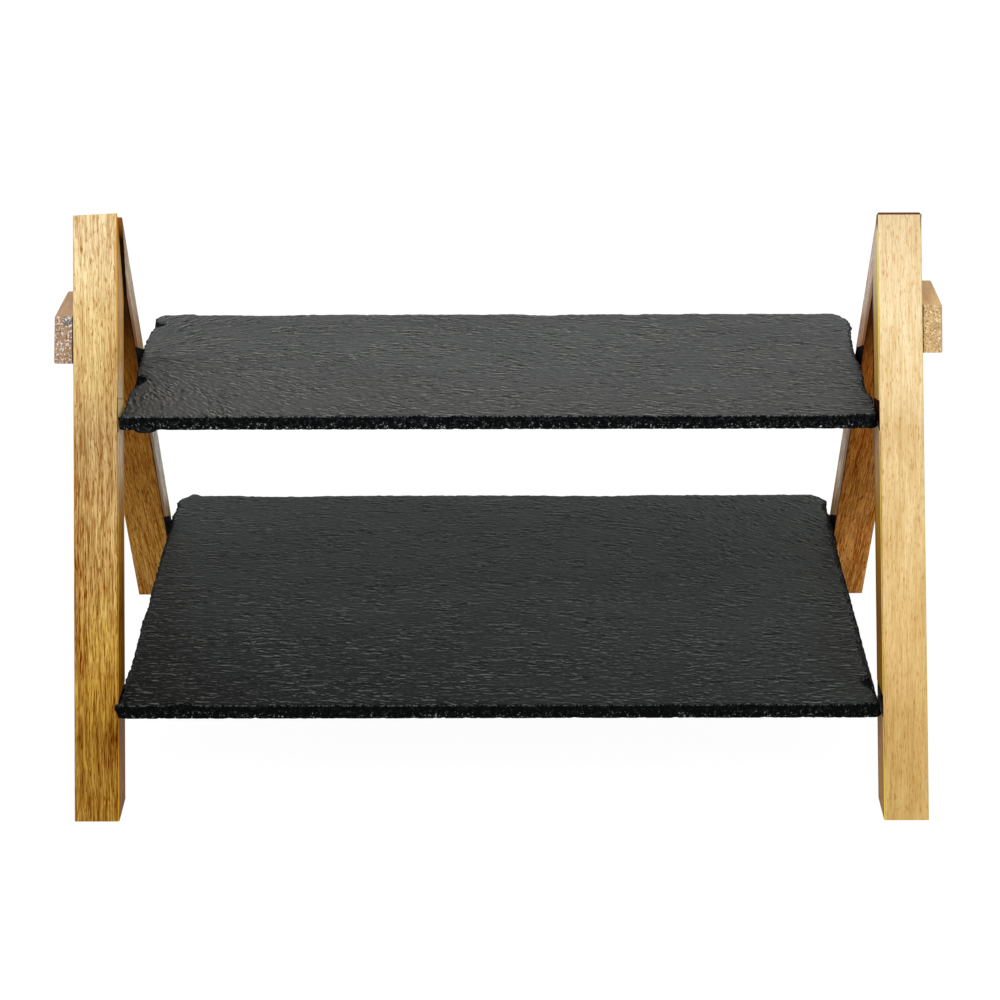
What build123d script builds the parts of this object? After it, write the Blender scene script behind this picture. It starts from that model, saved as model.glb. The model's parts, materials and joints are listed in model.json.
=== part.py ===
"""Two-tier cake stand: two slates carried by a pair of mitred wooden A-frames.

Frame: +X to the right along the slates, +Y to the back, +Z up, millimetres.
The origin is on the table, at the centre of the stand's outline seen from above.
Each A-frame is a front and a rear leg, mitred together at the top and tied there
by a crossbar on the outer side. The slates sit in shallow housings in the legs'
inner faces, and pull out to the front.
"""
from build123d import *
from math import cos, radians, sin, tan
import os

os.makedirs("parts", exist_ok=True)

# ---- driving dimensions ----
leg_width = 23.4             # across the stand, along X
leg_stock = 21.0             # from a leg's outer to its inner long face
leg_tilt = 26.5              # degrees from upright
foot_spread = 284.5          # front toe to rear heel
tip_flat = 2.0               # narrow flat left on top of the mitred joint
arris_radius = 0.8           # rounding of the legs' long edges

slate_length = 400.0
slate_thickness = 7.5
upper_depth = 152.0
lower_depth = 263.0
upper_level = 189.0          # top face of the upper slate, above the table
lower_level = 55.3           # top face of the lower slate
upper_lip = 0.5              # how far the slate's edge stands in front of the legs
lower_lip = 4.0
upper_clips = (3.0, 4.5, 6.0, 3.0)    # broken corners: front left, rear left, rear right, front right
lower_clips = (3.5, 6.0, 12.0, 4.0)
dress_pitch = 6.5            # spacing of the chips along a dressed edge
dress_bite = 0.45            # deepest chip, inwards
dress_slope = 1.5            # how far the top face is set in from the bottom one

slate_entry = 1.2            # how far a slate's end reaches into the legs
slate_end_clearance = 0.8    # from the slate's end to the housing's bottom
housing_clearance = 0.4      # above the slate, at the housing's tight end
housing_flare = 23.9         # degrees that the housing's roof rises to the front
close_flare = 2.0            # the left front leg's lower housing is cut close to the slate instead
cut_overrun = 1.0            # how far a cutting solid runs past the face it opens

crossbar_thickness = 10.6
crossbar_height = 22.5
crossbar_top_length = 38.0
crossbar_edge = 0.6          # bevel round the outer face
left_crossbar_drop = 49.0    # from the joint's top down to the crossbar's top
right_crossbar_drop = 44.0

screw_length = 24.0
screw_shank_radius = 1.75
screw_head_radius = 3.5
screw_head_height = 2.2
screw_slot_length = 4.2      # arms of the cross recess
screw_slot_width = 1.0
screw_slot_depth = 1.2
screw_fit = 0.05             # radial, in the crossbar and in the leg

dowel_radius = 2.5
dowel_length = 18.0
dowel_spacing = 11.0
dowel_above_seam = 12.0      # dowel axis above the lower end of the mitre's seam
dowel_fit = 0.05             # radial, in the two legs
dowel_end_gap = 1.0          # glue space behind each end

pad_radius = 6.3
pad_height = 3.0
pad_end_inset = 26.0         # pad centre from the slate's end
pad_side_inset = 24.0        # pad centre from the slate's front and back edges
near_pad_end_inset = 13.4    # the upper front left pad is stuck nearer the corner
near_pad_side_inset = 9.0

# ---- places that follow from the sizes ----
slope = tan(radians(leg_tilt))
leg_run = leg_stock / cos(radians(leg_tilt))            # a leg's thickness cut level
stand_height = (foot_spread - tip_flat) / 2 / slope
seam_z = (foot_spread / 2 - leg_run) / slope            # the legs meet above this level
inner_x = slate_length / 2 - slate_entry                # the frames' inner faces
outer_x = inner_x + leg_width
housing_depth = slate_entry + slate_end_clearance
slates = {
    "upper": {"top": upper_level, "depth": upper_depth, "lip": upper_lip, "clips": upper_clips, "seed": 1.7},
    "lower": {"top": lower_level, "depth": lower_depth, "lip": lower_lip, "clips": lower_clips, "seed": 4.1},
}
# measured from the front toes, then the whole stand is centred front to back
slate_fronts = [slate["top"] * slope - slate["lip"] for slate in slates.values()]
slate_backs = [front + slate["depth"] for front, slate in zip(slate_fronts, slates.values())]
toe_y = -(min([0.0] + slate_fronts) + max([foot_spread] + slate_backs)) / 2
apex_y = toe_y + foot_spread / 2
frame_sides = {"left": -1, "right": 1}
leg_sides = {"front": -1, "rear": 1}
crossbar_drops = {"left": left_crossbar_drop, "right": right_crossbar_drop}


def leg_face(place, z):
    """Y of a leg's outer long face at level z."""
    return apex_y + place * (foot_spread / 2 - z * slope)


def export(piece, name):
    piece.part.label = name
    export_step(piece.part, f"parts/{name}.step")


# ---- the mitred legs ----
def housing_points(place, slate, flare):
    """Side view of one housing: level floor, roof rising to the front by the flare in degrees."""
    floor = slate["top"] - slate_thickness
    tight = slate["top"] + housing_clearance
    back = max(leg_face(place, tight), leg_face(place, tight) - place * leg_run)
    front = back - leg_run - leg_stock
    rise = (back - front) * tan(radians(flare))
    return [(front, floor), (back + leg_run, floor), (back + leg_run, tight), (back, tight),
            (front, tight + rise)]


def screw_places(side):
    """The two screws of a crossbar, one into each leg, as planes whose Z points into the leg."""
    level = stand_height - crossbar_drops[side] - crossbar_height / 2
    face = frame_sides[side] * (outer_x + crossbar_thickness)
    return [Plane(origin=(face, leg_face(place, level) - place * leg_run / 2, level), x_dir=(0, 1, 0),
                  z_dir=(-frame_sides[side], 0, 0)) for place in leg_sides.values()]


def dowel_places(side):
    """The two dowels of a mitre, as planes in the seam whose Z points back."""
    middle = frame_sides[side] * (inner_x + leg_width / 2)
    return [Plane(origin=(middle + shift, apex_y, seam_z + dowel_above_seam), x_dir=(1, 0, 0),
                  z_dir=(0, 1, 0)) for shift in (-dowel_spacing / 2, dowel_spacing / 2)]


for side, across in frame_sides.items():
    near_x = inner_x if across > 0 else -outer_x           # the leg's lower X
    housing_x = inner_x - cut_overrun if across > 0 else -inner_x - housing_depth
    for position, place in leg_sides.items():
        with BuildPart() as leg:
            with BuildSketch(Plane.YZ.offset(near_x)):
                with BuildLine():
                    Polyline(
                        (leg_face(place, 0), 0),
                        (leg_face(place, 0) - place * leg_run, 0),
                        (apex_y, seam_z),
                        (apex_y, stand_height),
                        (leg_face(place, stand_height), stand_height),
                        close=True,
                    )
                make_face()
            extrude(amount=leg_width)
            grain = Axis((0, 0, 0), (0, -place * slope, 1))
            fillet(leg.edges().filter_by(grain), radius=arris_radius)
            for tier, slate in slates.items():
                close = (side, position, tier) == ("left", "front", "lower")
                flare = close_flare if close else housing_flare
                with BuildSketch(Plane.YZ.offset(housing_x)):
                    with BuildLine():
                        Polyline(*housing_points(place, slate, flare), close=True)
                    make_face()
                extrude(amount=housing_depth + cut_overrun, mode=Mode.SUBTRACT)
            with Locations(*dowel_places(side)):
                Cylinder(dowel_radius + dowel_fit, dowel_length + 2 * dowel_end_gap, mode=Mode.SUBTRACT)
            with Locations(*[spot.offset(crossbar_thickness) for spot in screw_places(side)]):
                Cylinder(screw_shank_radius + screw_fit, screw_length - crossbar_thickness,
                         align=(Align.CENTER, Align.CENTER, Align.MIN), mode=Mode.SUBTRACT)
        export(leg, f"{side}_{position}_leg")

# ---- the crossbars, one on the outer side of each frame ----
for side, across in frame_sides.items():
    top = stand_height - crossbar_drops[side]
    bottom = top - crossbar_height
    half_top = crossbar_top_length / 2
    half_bottom = half_top + crossbar_height * slope       # its ends run parallel to the legs
    start_x = outer_x if across > 0 else -outer_x - crossbar_thickness
    with BuildPart() as crossbar:
        with BuildSketch(Plane.YZ.offset(start_x)):
            with BuildLine():
                Polyline(
                    (apex_y - half_bottom, bottom),
                    (apex_y + half_bottom, bottom),
                    (apex_y + half_top, top),
                    (apex_y - half_top, top),
                    close=True,
                )
            make_face()
        extrude(amount=crossbar_thickness)
        outer_face = crossbar.faces().sort_by(Axis.X)[-1 if across > 0 else 0]
        chamfer(outer_face.edges(), length=crossbar_edge)
        with Locations(*screw_places(side)):
            Cylinder(screw_shank_radius + screw_fit, crossbar_thickness,
                     align=(Align.CENTER, Align.CENTER, Align.MIN), mode=Mode.SUBTRACT)
            Cone(screw_head_radius + screw_fit, screw_shank_radius + screw_fit, screw_head_height,
                 align=(Align.CENTER, Align.CENTER, Align.MIN), mode=Mode.SUBTRACT)
    export(crossbar, f"{side}_crossbar")

# ---- fasteners: countersunk screws through the crossbar, dowels across the mitre ----
for side in frame_sides:
    with BuildPart() as screws:
        with Locations(*screw_places(side)):
            Cone(screw_head_radius, screw_shank_radius, screw_head_height,
                 align=(Align.CENTER, Align.CENTER, Align.MIN))
        shank_length = screw_length - screw_head_height
        with Locations(*[spot.offset(screw_head_height) for spot in screw_places(side)]):
            Cylinder(screw_shank_radius, shank_length, align=(Align.CENTER, Align.CENTER, Align.MIN))
        with Locations(*screw_places(side)):
            for turn in (0, 90):
                Box(screw_slot_length, screw_slot_width, screw_slot_depth, rotation=(0, 0, turn),
                    align=(Align.CENTER, Align.CENTER, Align.MIN), mode=Mode.SUBTRACT)
    export(screws, f"{side}_crossbar_screws")

    with BuildPart() as dowels:
        with Locations(*dowel_places(side)):
            Cylinder(dowel_radius, dowel_length)
    export(dowels, f"{side}_mitre_dowels")


# ---- the slates, split from rock and dressed along their edges ----
def chip(count, seed):
    """An uneven run of values from 0 to 1, like the bites a dressing tool leaves one after another."""
    return (1 + sin(2.4 * count + seed) * cos(1.1 * count * seed)) / 2


def slate_outline(slate, inset):
    """A dressed rectangle with four broken corners, clockwise from the front left one."""
    front = toe_y + slate["top"] * slope - slate["lip"] + inset
    back = front + slate["depth"] - 2 * inset
    half = slate_length / 2 - inset
    corners = [(-half, front), (-half, back), (half, back), (half, front)]
    points = []
    for turn, clip in enumerate(slate["clips"]):
        next_clip = slate["clips"][(turn + 1) % 4]
        corner = Vector(*corners[turn])
        run = Vector(*corners[(turn + 1) % 4]) - corner
        along = run.normalized()
        inwards = Vector(along.Y, -along.X)
        dressed = run.length - clip - next_clip
        count = round((slate_length if turn % 2 else slate["depth"]) / dress_pitch)
        for step in range(count + 1):
            bite = dress_bite * chip(step + count * turn, slate["seed"])
            spot = corner + along * (clip + dressed * step / count) + inwards * bite
            points.append((spot.X, spot.Y))
    return points


for tier, slate in slates.items():
    with BuildPart() as slab:
        for level, inset in ((slate["top"] - slate_thickness, 0.0), (slate["top"], dress_slope)):
            with BuildSketch(Plane.XY.offset(level)):
                with BuildLine():
                    Polyline(*slate_outline(slate, inset), close=True)
                make_face()
        loft(ruled=True)
    export(slab, f"{tier}_slate")

# ---- rubber pads, stuck under the slates' corners ----
for tier, slate in slates.items():
    underside = slate["top"] - slate_thickness
    middle_y = toe_y + slate["top"] * slope - slate["lip"] + slate["depth"] / 2
    for side, across in frame_sides.items():
        for position, place in leg_sides.items():
            near = (tier, side, position) == ("upper", "left", "front")
            end_inset = near_pad_end_inset if near else pad_end_inset
            side_inset = near_pad_side_inset if near else pad_side_inset
            pad_x = across * (slate_length / 2 - end_inset)
            pad_y = middle_y + place * (slate["depth"] / 2 - side_inset)
            with BuildPart() as pad:
                with Locations((pad_x, pad_y, underside)):
                    Cylinder(pad_radius, pad_height, align=(Align.CENTER, Align.CENTER, Align.MAX))
            export(pad, f"{tier}_{side}_{position}_pad")
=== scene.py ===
# %% [markdown]
# # A tiered cake stand of slate and wood
#
# Two dark slates hang between two mitred wooden A-frames. The solids of the stand come from its
# CAD model. Here they get their looks: lacquered wood with its own figure on every leg, end grain
# on the crossbars, and two slates that are split along their faces and dressed along their edges.
#
# Everything is in metres. X runs along the slates, Y to the back, Z up from the table.

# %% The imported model
import json
from math import cos, pi, radians, sin, sqrt, tan

import bmesh
import bpy
from mathutils import Matrix, Vector, noise

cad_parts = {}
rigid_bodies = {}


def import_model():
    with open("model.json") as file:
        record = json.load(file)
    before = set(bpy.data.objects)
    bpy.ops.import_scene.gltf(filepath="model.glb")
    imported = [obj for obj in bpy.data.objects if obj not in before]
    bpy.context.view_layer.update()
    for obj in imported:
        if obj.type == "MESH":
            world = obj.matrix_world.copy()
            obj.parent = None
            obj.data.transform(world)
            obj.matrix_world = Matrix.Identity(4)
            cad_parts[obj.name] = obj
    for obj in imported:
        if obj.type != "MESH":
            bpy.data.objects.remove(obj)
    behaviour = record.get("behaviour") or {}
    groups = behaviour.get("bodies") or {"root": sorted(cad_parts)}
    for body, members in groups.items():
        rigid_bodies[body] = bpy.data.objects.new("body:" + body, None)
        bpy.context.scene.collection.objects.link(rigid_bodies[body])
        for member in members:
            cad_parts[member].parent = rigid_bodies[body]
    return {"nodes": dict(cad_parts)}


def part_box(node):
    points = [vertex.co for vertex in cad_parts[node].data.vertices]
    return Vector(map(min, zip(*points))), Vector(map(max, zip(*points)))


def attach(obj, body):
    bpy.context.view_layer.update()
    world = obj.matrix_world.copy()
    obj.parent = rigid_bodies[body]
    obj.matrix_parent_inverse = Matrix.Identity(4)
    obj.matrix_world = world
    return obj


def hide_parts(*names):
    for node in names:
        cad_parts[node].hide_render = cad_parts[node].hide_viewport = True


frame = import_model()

bpy.context.scene.view_settings.view_transform = "Standard"
in_scene = bpy.context.scene.collection.objects
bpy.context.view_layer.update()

# %% [markdown]
# ## Where it is seen from
#
# A long lens a metre and a half away keeps the legs nearly parallel, and looking down at 25
# degrees shows the tops of both slates. The three turns are applied in the order roll, pitch and
# yaw, which is simpler to reason about than Euler angles.

# %% Camera
lens = bpy.data.cameras.new("view")
lens.sensor_width = 36
lens.lens = 90.608
camera = bpy.data.objects.new("view", lens)
in_scene.link(camera)
stands_at = Matrix.Translation((0.00602, -1.26311, 0.70081))
yaw = Matrix.Rotation(radians(0.268), 4, "Z")
pitch = Matrix.Rotation(radians(90 - 24.773), 4, "X")
roll = Matrix.Rotation(radians(-0.239), 4, "Z")
camera.matrix_world = stands_at @ yaw @ pitch @ roll
bpy.context.scene.camera = camera
print("the camera looks down at 24.8 degrees")

# %% [markdown]
# ## Tools for materials
#
# A material is a small network of shader nodes. These helpers add a node, and join it to what it
# takes its values from, in one line each. An input may be a number, a colour or the output of
# another node.


# %% Node helpers
def put(node, socket, value):
    """Sets an input to a plain value, or joins it to another node's output."""
    if isinstance(value, bpy.types.NodeSocket):
        node.id_data.links.new(value, node.inputs[socket])
    elif value is not None:
        node.inputs[socket].default_value = value


def add(tree, kind, inputs=None, **settings):
    """Adds one node with its settings and inputs."""
    node = tree.nodes.new(kind)
    for name, value in settings.items():
        setattr(node, name, value)
    for socket, value in (inputs or {}).items():
        put(node, socket, value)
    return node


def maths(tree, operation, first, second=None, third=None, clamp=False):
    """One sum on numbers, as an output socket."""
    node = add(tree, "ShaderNodeMath", {0: first, 1: second, 2: third}, operation=operation)
    node.use_clamp = clamp
    return node.outputs[0]


def times(tree, first, second):
    """One number times another."""
    return maths(tree, "MULTIPLY", first, second)


def parted(tree, vector):
    """The X, Y and Z of a vector."""
    return add(tree, "ShaderNodeSeparateXYZ", {0: vector}).outputs


def object_place(tree):
    """Where each point of the piece lies, in metres."""
    return tree.nodes.new("ShaderNodeTexCoord").outputs["Object"]


def scaled(tree, vector, x, y, z):
    """A vector stretched along each axis."""
    node = add(tree, "ShaderNodeVectorMath", {0: vector, 1: (x, y, z)}, operation="MULTIPLY")
    return node.outputs[0]


def shifted(tree, vector, offset):
    """A vector moved by another one."""
    node = add(tree, "ShaderNodeVectorMath", {0: vector, 1: offset}, operation="ADD")
    return node.outputs[0]


def cloud(tree, vector, detail=2.0, rough=0.5, dims="3D", w=None):
    """Soft noise from 0 to 1. Its grain is set by how far the vector is stretched."""
    node = add(tree, "ShaderNodeTexNoise", {"Vector": vector}, noise_dimensions=dims)
    node.inputs["Scale"].default_value = 1.0
    node.inputs["Detail"].default_value = detail
    node.inputs["Roughness"].default_value = rough
    if w is not None:
        put(node, "W", w)
    return node.outputs["Fac"]


def between(tree, value, low, high):
    """0 below low, 1 above high, and a smooth rise between them."""
    node = add(tree, "ShaderNodeMapRange", {"Value": value, "From Min": low, "From Max": high},
               interpolation_type="SMOOTHSTEP")
    return node.outputs["Result"]


def blended(tree, amount, under, over, how="MIX"):
    """Lays one colour over another by an amount from 0 to 1."""
    node = add(tree, "ShaderNodeMix", data_type="RGBA", blend_type=how)
    put(node, 0, amount)
    put(node, 6, under)
    put(node, 7, over)
    return node.outputs[2]


def signed(tree, value, low, high):
    """-1 below low, 1 above high, and a smooth rise between them."""
    return maths(tree, "MULTIPLY_ADD", between(tree, value, low, high), 2.0, -1.0)


def colour(red, green, blue):
    """A colour as seen on a screen, 0 to 255, turned into the linear values that shaders use."""
    parts = []
    for part in (red, green, blue):
        share = part / 255
        parts.append(share / 12.92 if share <= 0.04045 else ((share + 0.055) / 1.055) ** 2.4)
    return (*parts, 1.0)


def ramp(tree, value, stops):
    """A colour that changes through a few stops as a value goes from 0 to 1."""
    node = add(tree, "ShaderNodeValToRGB", {0: value})
    points = node.color_ramp.elements
    for point, (share, tint) in zip(points, (stops[0], stops[-1])):
        point.position = share
        point.color = colour(*tint)
    for share, tint in stops[1:-1]:
        points.new(share).color = colour(*tint)
    return node.outputs["Color"]


def new_group(name, inputs, outputs):
    """An empty node group with named sockets, and its two end nodes."""
    tree = bpy.data.node_groups.new(name, "ShaderNodeTree")
    for label, kind, value in inputs:
        socket = tree.interface.new_socket(label, in_out="INPUT", socket_type="NodeSocket" + kind)
        if value is not None:
            socket.default_value = value
    for label, kind in outputs:
        tree.interface.new_socket(label, in_out="OUTPUT", socket_type="NodeSocket" + kind)
    return tree, tree.nodes.new("NodeGroupInput").outputs, tree.nodes.new("NodeGroupOutput")


def use_group(tree, group, inputs):
    """Places a group in a material with its own values, and gives its outputs."""
    node = tree.nodes.new("ShaderNodeGroup")
    node.node_tree = group
    for label, value in inputs.items():
        put(node, label, value)
    return node.outputs


def new_material(name):
    """An empty material and its principled shader, already joined to the output."""
    material = bpy.data.materials.new(name)
    material.use_nodes = True
    tree = material.node_tree
    shader = tree.nodes["Principled BSDF"]
    return material, tree, shader


# %% [markdown]
# ## The table and the light
#
# The stand is lit as in a small studio: a white surround, and one large soft lamp above and in
# front of it. The surround is white where it is seen directly or mirrored in the slates. The
# floor is a plain sheet that looks white to the camera, and still takes a faint shadow, while it
# sends only moderate light up under the legs.


# %% The surround
def seen_directly(tree):
    """1 for what the camera sees, also mirrored or through glass, and 0 for what only sends light."""
    path = tree.nodes.new("ShaderNodeLightPath").outputs
    seen = maths(tree, "MAXIMUM", path["Is Camera Ray"], path["Is Glossy Ray"])
    return maths(tree, "MAXIMUM", seen, path["Is Transmission Ray"])


world = bpy.data.worlds.new("surround")
world.use_nodes = True
bpy.context.scene.world = world
sky = world.node_tree
sky.nodes.clear()
seen = seen_directly(sky)
heading = sky.nodes.new("ShaderNodeTexCoord").outputs["Generated"]
height = parted(sky, heading)["Z"]
overhead = between(sky, height, -0.1, 0.9)
soft = maths(sky, "MULTIPLY_ADD", overhead, 0.35, 0.45)
strength = maths(sky, "MAXIMUM", soft, seen)
white = add(sky, "ShaderNodeBackground", {"Color": (1, 1, 1, 1), "Strength": strength})
surround_out = sky.nodes.new("ShaderNodeOutputWorld")
sky.links.new(white.outputs[0], surround_out.inputs["Surface"])
print("the surround is white to the camera, and softer as light")

# %% The floor
floor_mesh = bpy.data.meshes.new("floor")
reach = 4.0
corners = [(-reach, -reach, 0), (reach, -reach, 0), (reach, reach, 0), (-reach, reach, 0)]
floor_mesh.from_pydata(corners, [], [(0, 1, 2, 3)])
floor = bpy.data.objects.new("floor", floor_mesh)
in_scene.link(floor)
floor_paint, tree, shader = new_material("floor_paint")
tree.nodes.remove(shader)
seen = seen_directly(tree)
matt = add(tree, "ShaderNodeBsdfDiffuse", {"Color": (0.6, 0.6, 0.6, 1)})
glow = add(tree, "ShaderNodeEmission", {"Color": (1, 1, 1, 1), "Strength": 1.0})
share = times(tree, seen, 0.85)
paint = add(tree, "ShaderNodeMixShader", {0: share, 1: matt.outputs[0], 2: glow.outputs[0]})
lift = add(tree, "ShaderNodeEmission", {"Color": (1, 1, 1, 1)})
put(lift, "Strength", times(tree, seen, 0.12))
whole = add(tree, "ShaderNodeAddShader", {0: paint.outputs[0], 1: lift.outputs[0]})
tree.links.new(whole.outputs[0], tree.nodes["Material Output"].inputs["Surface"])
floor_mesh.materials.append(floor_paint)
print("the floor is", 2 * reach, "m across")

# %% The lamp
lamp = bpy.data.lights.new("soft_lamp", "AREA")
lamp.shape = "RECTANGLE"
lamp.size = 1.1
lamp.size_y = 0.8
lamp.energy = 8
lamp_object = bpy.data.objects.new("soft_lamp", lamp)
in_scene.link(lamp_object)
lamp_place = Vector((-0.25, -0.75, 1.15))
towards = Vector((0, 0, 0.2)) - lamp_place
turned = towards.to_track_quat("-Z", "Y").to_matrix().to_4x4()
lamp_object.matrix_world = Matrix.Translation(lamp_place) @ turned
print("one soft lamp,", lamp.size, "m wide")

# %% [markdown]
# ## Wood figure
#
# The legs are sawn from a yellow-brown hardwood, with the grain running down their length. Four
# things show: soft patches as broad as a finger, narrow light and dark bands, fine straight
# streaks, and short brown pores. All of them are noise, stretched along the grain, and bent a
# little by a slower noise so that no line is ruled. The group lightens and darkens a leg's own
# tone rather than mixing two fixed colours, because the colour a leg is given changes a lot from
# foot to top, with painted light and shade in it as well as the wood's tone.

# %% The wood group
wood_inputs = [
    ("Grain", "Vector", None),
    ("Tone", "Color", (0.6, 0.4, 0.2, 1)),
    ("Stain", "Color", (0.3, 0.36, 0.5, 1)),
    ("Pore", "Color", (0.5, 0.36, 0.2, 1)),
    ("Patch", "Float", 0.4),
    ("Band", "Float", 0.4),
    ("Streak", "Float", 0.5),
    ("Pores", "Float", 0.5),
    ("Wander", "Float", 0.001),
]
wood, given, result = new_group("wood_figure", wood_inputs, [("Color", "Color"), ("Height", "Float")])
slow = add(wood, "ShaderNodeTexNoise", {"Vector": scaled(wood, given["Grain"], 60, 60, 18)})
slow.inputs["Scale"].default_value = 1.0
slow.inputs["Detail"].default_value = 2.0
bend = add(wood, "ShaderNodeVectorMath", {0: slow.outputs["Color"], 1: (0.5, 0.5, 0.5)},
           operation="SUBTRACT")
bend = add(wood, "ShaderNodeVectorMath", {0: bend.outputs[0]}, operation="SCALE")
put(bend, "Scale", times(wood, given["Wander"], 2.0))
grain = shifted(wood, given["Grain"], bend.outputs[0])
patches = signed(wood, cloud(wood, scaled(wood, grain, 75, 75, 20), 2.0), 0.34, 0.66)
bands = signed(wood, cloud(wood, scaled(wood, grain, 290, 290, 7), 2.0), 0.34, 0.66)
streaks = signed(wood, cloud(wood, scaled(wood, grain, 1150, 1150, 46), 2.0, 0.6), 0.34, 0.66)
fine = signed(wood, cloud(wood, scaled(wood, grain, 2300, 2300, 150), 1.0), 0.34, 0.66)
dashes = between(wood, cloud(wood, scaled(wood, grain, 2100, 2100, 240), 1.0), 0.60, 0.69)
lines = between(wood, cloud(wood, scaled(wood, grain, 1300, 1300, 42), 2.0), 0.58, 0.66)
broad = maths(wood, "MULTIPLY_ADD", patches, given["Patch"], times(wood, bands, given["Band"]))
narrow = maths(wood, "MULTIPLY_ADD", fine, 0.7, streaks)
darker = maths(wood, "MULTIPLY_ADD", narrow, given["Streak"], broad)
taken = add(wood, "ShaderNodeVectorMath", {0: given["Stain"]}, operation="SCALE")
put(taken, "Scale", darker)
left_over = add(wood, "ShaderNodeVectorMath", {0: (1, 1, 1), 1: taken.outputs[0]}, operation="SUBTRACT")
body_colour = blended(wood, 1.0, given["Tone"], left_over.outputs[0], "MULTIPLY")
pore_share = times(wood, dashes, given["Pores"])
line_share = times(wood, lines, times(wood, given["Streak"], 0.42))
pore_share = add(wood, "ShaderNodeMath", {0: pore_share, 1: line_share}, operation="ADD", use_clamp=True)
pore_share = pore_share.outputs[0]
put(result, "Color", blended(wood, pore_share, body_colour, given["Pore"], "MULTIPLY"))
raised = maths(wood, "SUBTRACT", times(wood, narrow, -0.3), dashes)
put(result, "Height", raised)
print("wood group:", len(wood.nodes), "nodes")

# %% [markdown]
# ## A finish for each leg
#
# The wood is lacquered, which gives it a satin gloss. A ramp along the height gives the colour a few
# stops from foot to top. It holds the wood's own tone and painted light as well. The front legs are
# painted lighter towards the top, where the lamp falls, with a darker band just below the upper slate
# as its painted shadow. The rear legs are painted darker towards the top as shade under the slates
# and the mitre. A second ramp does the same on the inner face: its near-white stops are a painted
# sheen of the white surround, and its dark stops are painted shade beside the slates. The inner arris
# of each front leg gets a painted yellow highlight, and the arrises of the rear legs get painted shade.
# The shallow housings, the mitre faces and the rear legs' down-facing faces under the mitre get
# painted shade. The back wall of the left front leg's upper housing gets a painted cream highlight.
# The far edge of the inner face gets a painted line of light on the left front leg and of shade on the
# right front one. The top edge gets a darker red-brown line. All of these are found from the geometry:
# an arris is where the surface turns from the front to the side, a housing faces up, down or inwards
# next to the inner face, and the mitre is the only face that looks straight back or forwards. The
# legs lean a little, so the group first takes that lean off again.

# %% Wood masks, used by every leg
leg_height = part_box("left_front_leg")[1].z
leg_tilt = radians(26.5)
mask_inputs = [("Foot Shift", "Float", 0.0), ("Top Shift", "Float", 0.0)]
mask_outputs = [(label, "Float") for label in ("Rise", "Inner Arris", "Outer Arris", "Housing", "Bottom",
                                               "Inner", "Far Line", "Near Line", "Mitre", "Under", "Tip")]
masks, given, result = new_group("leg_masks", mask_inputs, mask_outputs)
shape = masks.nodes.new("ShaderNodeNewGeometry").outputs
normal = parted(masks, shape["Normal"])
place = parted(masks, object_place(masks))
rise = maths(masks, "DIVIDE", place["Z"], leg_height)
put(result, "Rise", rise)
lean = maths(masks, "SUBTRACT", given["Top Shift"], given["Foot Shift"])
lean = maths(masks, "MULTIPLY_ADD", lean, rise, given["Foot Shift"])
upright_x = maths(masks, "SUBTRACT", place["X"], lean)
inwards = times(masks, normal["X"], maths(masks, "SIGN", place["X"]))
inwards = times(masks, inwards, -1.0)
sideways = maths(masks, "ABSOLUTE", normal["X"])
turning = times(masks, between(masks, sideways, 0.10, 0.35), between(masks, sideways, 0.97, 0.80))
put(result, "Inner Arris", times(masks, turning, maths(masks, "GREATER_THAN", inwards, 0.0)))
put(result, "Outer Arris", times(masks, turning, maths(masks, "LESS_THAN", inwards, 0.0)))
across = maths(masks, "ABSOLUTE", upright_x)
shallow = between(masks, across, 0.1997, 0.1994)
level = maths(masks, "ABSOLUTE", normal["Z"])
above_foot = between(masks, place["Z"], 0.002, 0.003)
below_top = between(masks, place["Z"], 0.280, 0.279)
roof_or_floor = times(masks, shallow, between(masks, level, 0.7, 0.8))
roof_or_floor = times(masks, roof_or_floor, times(masks, above_foot, below_top))
flat_side = between(masks, inwards, 0.90, 0.96)
put(result, "Housing", roof_or_floor)
put(result, "Bottom", times(masks, flat_side, between(masks, across, 0.19888, 0.19896)))
put(result, "Inner", times(masks, flat_side, between(masks, across, 0.19896, 0.19888)))
outer_y = maths(masks, "MULTIPLY_ADD", place["Z"], -tan(leg_tilt), -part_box("left_front_leg")[0].y)
from_outer = maths(masks, "SUBTRACT", outer_y, maths(masks, "ABSOLUTE", place["Y"]))
depth = times(masks, from_outer, cos(leg_tilt))
put(result, "Far Line", times(masks, flat_side, between(masks, depth, 0.0158, 0.0172)))
put(result, "Near Line", times(masks, flat_side, between(masks, depth, 0.0030, 0.0022)))
put(result, "Mitre", between(masks, maths(masks, "ABSOLUTE", normal["Y"]), 0.94, 0.98))
put(result, "Under", between(masks, normal["Z"], -0.2, -0.4))
from_middle = maths(masks, "ABSOLUTE", maths(masks, "SUBTRACT", across, 0.2105))
side_line = times(masks, between(masks, from_middle, 0.0108, 0.0114), between(masks, rise, 0.965, 0.99))
side_line = times(masks, side_line, between(masks, level, 0.75, 0.70))
top_line = between(masks, place["Z"], leg_height - 0.0004, leg_height + 0.0001)
put(result, "Tip", maths(masks, "MAXIMUM", side_line, top_line))
print("mask group:", len(masks.nodes), "nodes")


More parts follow.
